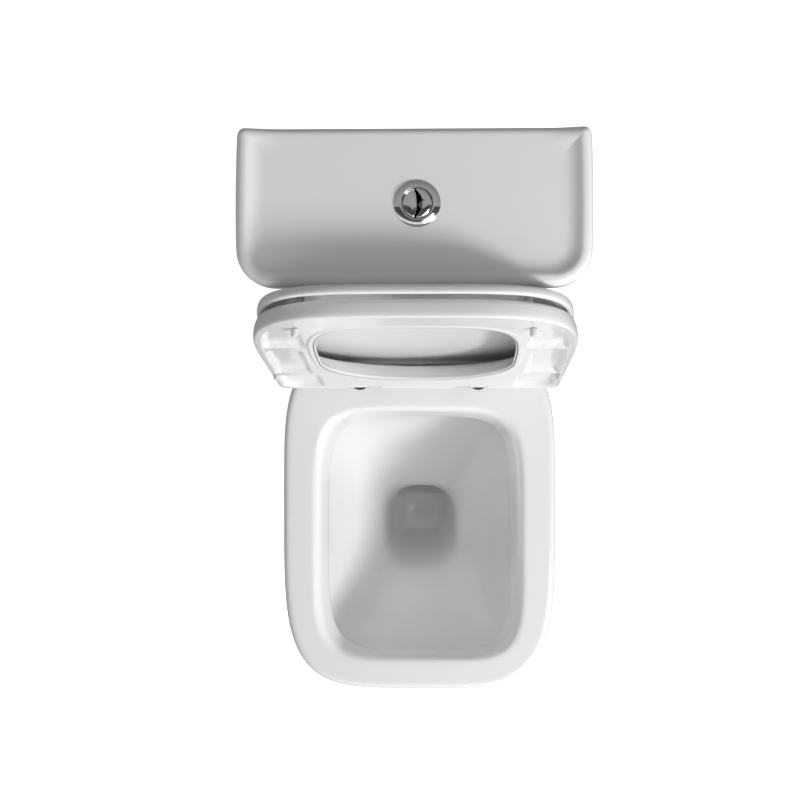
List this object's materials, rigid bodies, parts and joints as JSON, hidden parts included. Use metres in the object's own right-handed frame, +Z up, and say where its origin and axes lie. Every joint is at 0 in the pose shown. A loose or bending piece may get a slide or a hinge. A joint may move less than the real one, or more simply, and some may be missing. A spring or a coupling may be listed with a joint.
{
  "type": "close coupled toilet",
  "caption": "Close coupled toilet with a squared pan, a cistern with a tray-like lid and dual flush button, and a hinged seat and lid that stand raised.",
  "frame": {"origin": "on the floor, at the middle of the whole object's length and width", "axes": "+Z up, the front of the pan faces -Y, the cistern's back faces +Y, +X to the right seen from the front"},
  "size_m": [0.375, 0.668, 0.832],
  "materials": {
    "ceramic": "glossy white glaze",
    "seat_plastic": "gloss white moulded plastic",
    "chrome": "polished",
    "steel": "plain stainless",
    "brass": "plain",
    "rubber": "matt black",
    "buffer": "soft white",
    "valve_plastic": "moulded off-white",
    "float_plastic": "moulded blue"
  },
  "bodies": {
    "toilet": {"cistern_tank": "ceramic", "coupling_bolt_left": "brass", "coupling_bolt_right": "brass", "coupling_gasket": "rubber", "coupling_plate_left": "steel", "coupling_plate_right": "steel", "coupling_washer_left": "rubber", "coupling_washer_right": "rubber", "coupling_wing_nut_left": "brass", "coupling_wing_nut_right": "brass", "fill_valve_backnut": "valve_plastic", "fill_valve_head": "float_plastic", "fill_valve_shank": "valve_plastic", "fill_valve_washer": "rubber", "floor_cap_left": "chrome", "floor_cap_right": "chrome", "floor_ferrule_left": "valve_plastic", "floor_ferrule_right": "valve_plastic", "floor_screw_left": "steel", "floor_screw_right": "steel", "flush_valve_backnut": "valve_plastic", "flush_valve_base": "valve_plastic", "flush_valve_tower": "valve_plastic", "flush_valve_washer": "rubber", "hinge_pad_left": "rubber", "hinge_pad_right": "rubber", "hinge_pin_left": "steel", "hinge_pin_right": "steel", "hinge_post_left": "seat_plastic", "hinge_post_right": "seat_plastic", "hinge_stud_left": "steel", "hinge_stud_right": "steel", "hinge_washer_left": "rubber", "hinge_washer_right": "rubber", "hinge_wing_nut_left": "valve_plastic", "hinge_wing_nut_right": "valve_plastic", "lever_pin": "valve_plastic", "pan": "ceramic", "pan_outlet": "ceramic", "pan_shelf": "ceramic"},
    "lid": {"toilet_lid": "seat_plastic", "lid_buffer_left": "buffer", "lid_buffer_right": "buffer"},
    "seat": {"seat_ring": "seat_plastic", "seat_buffer_front_left": "buffer", "seat_buffer_front_right": "buffer", "seat_buffer_rear_left": "buffer", "seat_buffer_rear_right": "buffer"},
    "cistern_cover": {"cistern_lid": "ceramic", "button_bezel": "chrome", "button_nut": "valve_plastic"},
    "full_button": {"full_flush_button": "chrome", "full_flush_rod": "valve_plastic"},
    "half_button": {"half_flush_button": "chrome", "half_flush_rod": "valve_plastic"},
    "flush_valve_lifter": {"overflow_tube": "float_plastic", "flush_valve_seal": "rubber"},
    "float": {"float_cup": "float_plastic", "float_rod": "valve_plastic"},
    "lever": {"float_lever": "valve_plastic"}
  },
  "joints": [
    {"name": "lid_hinge", "type": "hinge", "parent": "toilet", "child": "lid", "pos_m": [0, 0.076, 0.417], "axis": [-1, 0, 0], "range_deg": [-99, 0]},
    {"name": "seat_hinge", "type": "hinge", "parent": "lid", "child": "seat", "pos_m": [0, 0.076, 0.417], "axis": [1, 0, 0], "range_deg": [0, 99]},
    {"name": "cistern_lid_lift", "type": "slide", "parent": "toilet", "child": "cistern_cover", "axis": [0, 0, 1], "range_m": [0, 0.13]},
    {"name": "full_flush_press", "type": "slide", "parent": "cistern_cover", "child": "full_button", "axis": [0, 0, -1], "range_m": [0, 0.005], "stiffness_N_per_m": 150, "springref_m": -0.01},
    {"name": "half_flush_press", "type": "slide", "parent": "cistern_cover", "child": "half_button", "axis": [0, 0, -1], "range_m": [0, 0.005], "stiffness_N_per_m": 150, "springref_m": -0.01},
    {"name": "flush_valve_lift", "type": "slide", "parent": "toilet", "child": "flush_valve_lifter", "axis": [0, 0, 1], "range_m": [0, 0.0125]},
    {"name": "float_rise", "type": "slide", "parent": "toilet", "child": "float", "axis": [0, 0, 1], "range_m": [0, 0.02]},
    {"name": "float_lever_tilt", "type": "hinge", "parent": "toilet", "child": "lever", "pos_m": [-0.124, 0.254, 0.7075], "axis": [0, -1, 0], "range_deg": [0, 28]}
  ],
  "couplings": [
    {"joint": "flush_valve_lift", "follows": "full_flush_press", "ratio": 2.5},
    {"joint": "float_lever_tilt", "follows": "float_rise", "rad_per_m": 24.4}
  ]
}
